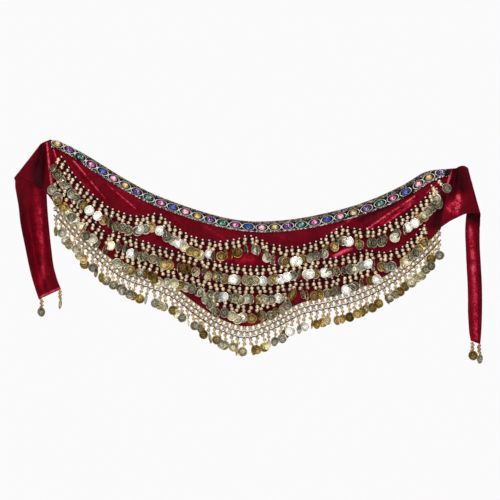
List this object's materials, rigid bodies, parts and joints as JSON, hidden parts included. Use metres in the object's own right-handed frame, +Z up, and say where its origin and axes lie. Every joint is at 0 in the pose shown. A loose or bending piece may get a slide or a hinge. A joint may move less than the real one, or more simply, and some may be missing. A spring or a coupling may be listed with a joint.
{
  "type": "coin dance belt",
  "caption": "Velvet crescent hip belt with a jewelled ribbon edge, hanging rows of beaded coins, an openwork bead hem with a coin fringe, and two ties, hung as it is held up.",
  "frame": {"origin": "where the left end is pinched between finger and thumb, at the top of the left seam", "axes": "+X along the belt to the right as it is seen, +Y away from the viewer through the cloth, +Z up"},
  "size_m": [0.8956, 0.0341, 0.4281],
  "materials": {
    "velvet": "deep red stretch velvet with a soft pink sheen where it folds",
    "ribbon": "black ribbon with borders of silver-grey lurex beading",
    "setting": "silver-grey metallised setting rings",
    "gems": "clear faceted oval stones in purple, green, pink, blue, light pink and yellow",
    "coins": "thin stamped coins, bright pale gold with some darker gold ones",
    "beads": "metallised pale gold beads",
    "thread": "dark crochet thread"
  },
  "bodies": {
    "root": {"velvet_panel": "velvet", "left_tie": "velvet", "right_tie": "velvet", "jewel_trim": "ribbon", "coin_row_1_a": "coins", "coin_row_1_b": "coins", "coin_row_1_c": "coins", "coin_row_1_d": "coins", "coin_row_2_a": "coins", "coin_row_2_b": "coins", "coin_row_2_c": "coins", "coin_row_2_d": "coins", "coin_row_2_e": "coins", "coin_row_3_a": "coins", "coin_row_3_b": "coins", "coin_row_3_c": "coins", "coin_row_4": "coins", "hem_fringe_a": "coins", "hem_fringe_b": "coins", "hem_fringe_c": "coins", "hem_fringe_d": "coins", "tie_drop_left_a": "coins", "tie_drop_left_b": "coins", "tie_drop_right_a": "coins", "tie_drop_right_b": "coins"}
  },
  "joints": []
}
